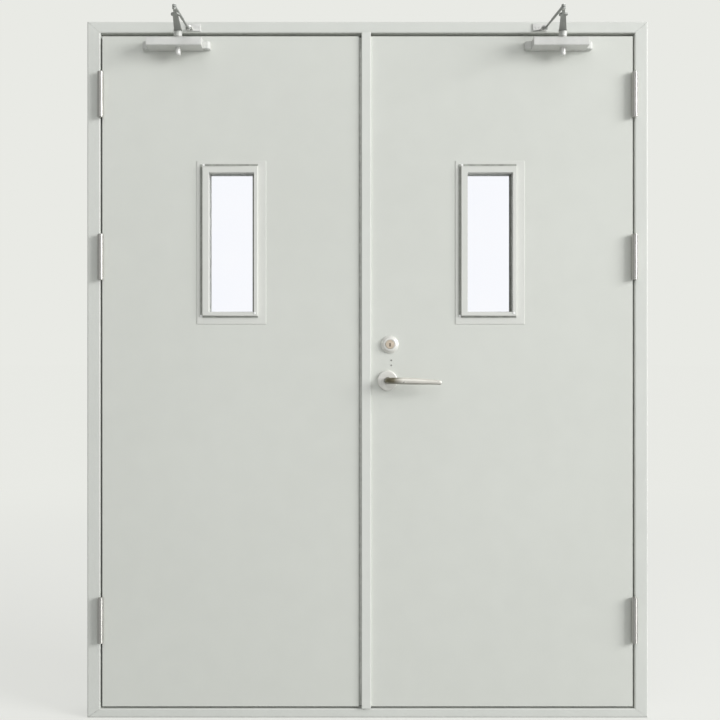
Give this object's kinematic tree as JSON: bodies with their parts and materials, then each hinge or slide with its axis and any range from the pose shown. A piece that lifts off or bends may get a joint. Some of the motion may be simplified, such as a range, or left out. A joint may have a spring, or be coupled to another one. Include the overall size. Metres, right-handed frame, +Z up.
{
  "type": "steel double fire door",
  "caption": "Flush steel double door in a folded four-sided frame, with narrow glazed panels, butt hinges, overhead closers with arms, a meeting strip and a lever lock.",
  "frame": {"origin": "on the flat underside of the sill, at mid width and mid depth of the frame", "axes": "+Z up along the jambs, +X to the right across the opening for someone who stands on the pull side, +Y from the pull side to the push side"},
  "size_m": [1.692, 0.3348, 2.1],
  "materials": {
    "frame_paint": "satin",
    "leaf_paint": "satin",
    "hinge_steel": "satin",
    "closer_silver": "satin",
    "arm_steel": "satin",
    "panel_glass": "clear",
    "seal_rubber": "matte",
    "satin_steel": "satin",
    "cylinder_brass": "satin"
  },
  "bodies": {
    "frame": {"left_jamb": "frame_paint", "right_jamb": "frame_paint", "head": "frame_paint", "sill": "frame_paint", "frame_seal": "seal_rubber", "left_top_hinge_frame_half": "hinge_steel", "left_middle_hinge_frame_half": "hinge_steel", "left_bottom_hinge_frame_half": "hinge_steel", "right_top_hinge_frame_half": "hinge_steel", "right_middle_hinge_frame_half": "hinge_steel", "right_bottom_hinge_frame_half": "hinge_steel", "left_closer_shoe": "closer_silver", "right_closer_shoe": "closer_silver"},
    "left_leaf": {"left_leaf_front_sheet": "leaf_paint", "left_leaf_back_sheet": "leaf_paint", "left_glass": "panel_glass", "left_front_bezel": "leaf_paint", "left_back_bezel": "leaf_paint", "left_top_hinge_leaf_half": "hinge_steel", "left_middle_hinge_leaf_half": "hinge_steel", "left_bottom_hinge_leaf_half": "hinge_steel", "left_closer_body": "closer_silver", "left_closer_end_cap": "closer_silver", "left_closer_hinge_cap": "closer_silver", "strike_plate": "hinge_steel"},
    "right_leaf": {"right_leaf_front_sheet": "leaf_paint", "right_leaf_back_sheet": "leaf_paint", "meeting_strip": "leaf_paint", "right_glass": "panel_glass", "right_front_bezel": "leaf_paint", "right_back_bezel": "leaf_paint", "right_top_hinge_leaf_half": "hinge_steel", "right_middle_hinge_leaf_half": "hinge_steel", "right_bottom_hinge_leaf_half": "hinge_steel", "right_closer_body": "closer_silver", "right_closer_end_cap": "closer_silver", "right_closer_hinge_cap": "closer_silver", "front_lever_rose": "satin_steel", "back_lever_rose": "satin_steel", "front_cylinder_rose": "cylinder_brass", "back_cylinder_rose": "cylinder_brass", "lock_cylinder": "cylinder_brass", "lock_case": "hinge_steel"},
    "left_main_arm": {"left_main_arm": "arm_steel"},
    "left_forearm": {"left_forearm": "arm_steel"},
    "right_main_arm": {"right_main_arm": "arm_steel"},
    "right_forearm": {"right_forearm": "arm_steel"},
    "lever_set": {"front_lever": "satin_steel", "back_lever": "satin_steel"}
  },
  "joints": [
    {"name": "left_leaf_swing", "type": "hinge", "parent": "frame", "child": "left_leaf", "pos_m": [-0.803, -0.066, 1], "axis": [0, 0, -1], "range_deg": [0, 90], "stiffness_Nm_per_rad": 12, "springref_deg": -45.84},
    {"name": "right_leaf_swing", "type": "hinge", "parent": "frame", "child": "right_leaf", "pos_m": [0.803, -0.066, 1], "axis": [0, 0, 1], "range_deg": [0, 90], "stiffness_Nm_per_rad": 12, "springref_deg": -45.84},
    {"name": "lever_turn", "type": "hinge", "parent": "right_leaf", "child": "lever_set", "pos_m": [0.0605, -0.055, 1.017], "axis": [0, 1, 0], "range_deg": [0, 40], "stiffness_Nm_per_rad": 2, "springref_deg": -34.38},
    {"name": "left_main_arm_turn", "type": "hinge", "parent": "left_leaf", "child": "left_main_arm", "pos_m": [-0.5665, -0.085, 2.063], "axis": [0, 0, -1], "range_deg": [-191.4, 0]},
    {"name": "left_forearm_turn", "type": "hinge", "parent": "frame", "child": "left_forearm", "pos_m": [-0.535, -0.085, 2.0693], "axis": [0, 0, -1], "range_deg": [0, 32.2]},
    {"name": "right_main_arm_turn", "type": "hinge", "parent": "right_leaf", "child": "right_main_arm", "pos_m": [0.583, -0.085, 2.063], "axis": [0, 0, 1], "range_deg": [-181.9, 0]},
    {"name": "right_forearm_turn", "type": "hinge", "parent": "frame", "child": "right_forearm", "pos_m": [0.53, -0.085, 2.0693], "axis": [0, 0, 1], "range_deg": [0, 28.3]}
  ],
  "couplings": [
    {"joint": "left_main_arm_turn", "follows": "left_leaf_swing", "ratio": -2.1261},
    {"joint": "left_forearm_turn", "follows": "left_leaf_swing", "ratio": 0.3573},
    {"joint": "right_main_arm_turn", "follows": "right_leaf_swing", "ratio": -2.021},
    {"joint": "right_forearm_turn", "follows": "right_leaf_swing", "ratio": 0.31441}
  ]
}
